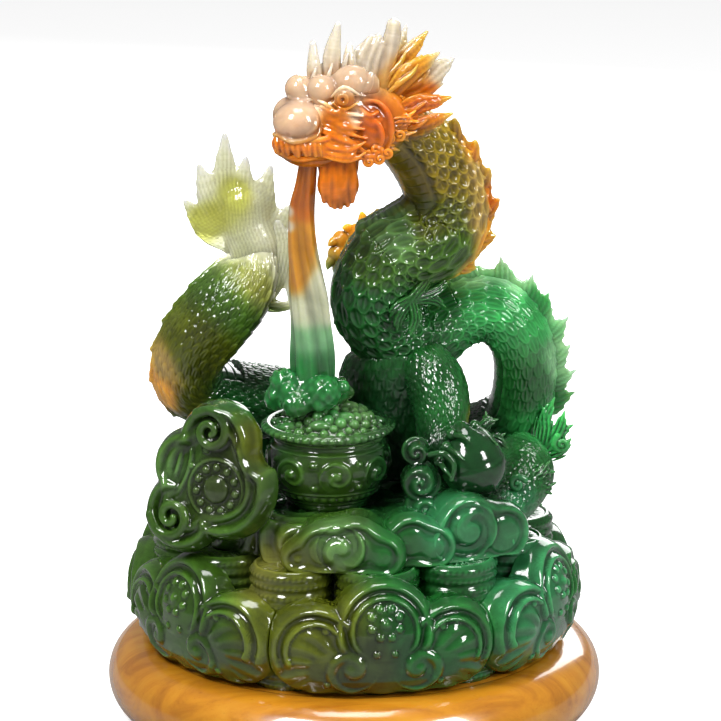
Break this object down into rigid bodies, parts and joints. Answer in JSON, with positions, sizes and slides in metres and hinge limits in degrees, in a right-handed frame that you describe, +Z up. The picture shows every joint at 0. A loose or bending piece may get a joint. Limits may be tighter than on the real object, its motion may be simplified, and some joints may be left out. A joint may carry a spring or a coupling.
{
  "type": "dragon figurine on stand",
  "caption": "Dragon figurine in imitation jade, spitting water into a treasure pot on clouds over a coin plinth, loose on a round wooden stand.",
  "frame": {"origin": "centre of the felt's underside, where the stand rests on a table", "axes": "+Z up, -Y towards the viewer in front, +X to the viewer's right"},
  "size_m": [0.1759, 0.176, 0.2612],
  "materials": {
    "felt": "short felt under the stand",
    "lacquered_wood": "honey wood under gloss lacquer",
    "jade_deep_green": "polished translucent resin, dark where thick",
    "jade_green": "polished translucent resin",
    "jade_olive": "polished translucent resin, shading from green to amber",
    "jade_light_green": "polished translucent resin, pale where thin",
    "jade_amber": "polished translucent resin, amber",
    "jade_pale": "polished translucent resin, milky white"
  },
  "bodies": {
    "stand": {"felt_base_pad": "felt", "wooden_stand": "lacquered_wood"},
    "figurine": {"plinth_core": "jade_deep_green", "coin_stacks": "jade_olive", "ruyi_panel_front": "jade_green", "ruyi_panel_front_right": "jade_green", "ruyi_panel_back_right": "jade_green", "ruyi_panel_back": "jade_green", "ruyi_panel_back_left": "jade_green", "ruyi_panel_front_left": "jade_green", "cloud_bank": "jade_green", "cloud_rise_back": "jade_deep_green", "cloud_scroll_front": "jade_green", "cloud_scroll_middle": "jade_green", "cloud_scroll_right": "jade_green", "ruyi_head": "jade_olive", "ruyi_stem": "jade_olive", "treasure_pot": "jade_green", "treasure_mound": "jade_light_green", "water_column": "jade_pale", "water_splash": "jade_light_green", "flaming_pearl": "jade_green", "cloud_knot": "jade_green", "dragon_neck": "jade_olive", "dragon_chest": "jade_green", "dragon_arch": "jade_green", "dragon_lower_coil": "jade_deep_green", "dragon_tail": "jade_olive", "neck_crest": "jade_amber", "arch_crest": "jade_light_green", "tail_crest": "jade_amber", "tail_flame": "jade_pale", "tail_inner_fin": "jade_pale", "dragon_skull": "jade_amber", "nostril_bulbs": "jade_pale", "brow_bulbs": "jade_pale", "dragon_eyes": "jade_amber", "upper_teeth": "jade_pale", "lower_jaw": "jade_amber", "chin_beard": "jade_amber", "crown_spikes": "jade_pale", "horns": "jade_pale", "mane_strands": "jade_amber", "cheek_frill": "jade_amber", "dragon_belly": "jade_deep_green", "shoulder_tuft": "jade_olive", "foreleg_right": "jade_green", "foreleg_left": "jade_amber", "hind_leg_right": "jade_green", "hind_ankle_tuft": "jade_green", "hip_tuft": "jade_light_green"}
  },
  "joints": [
    {"name": "figurine_lift", "type": "slide", "parent": "stand", "child": "figurine", "axis": [0, 0, 1], "range_m": [0, 0.05]}
  ]
}
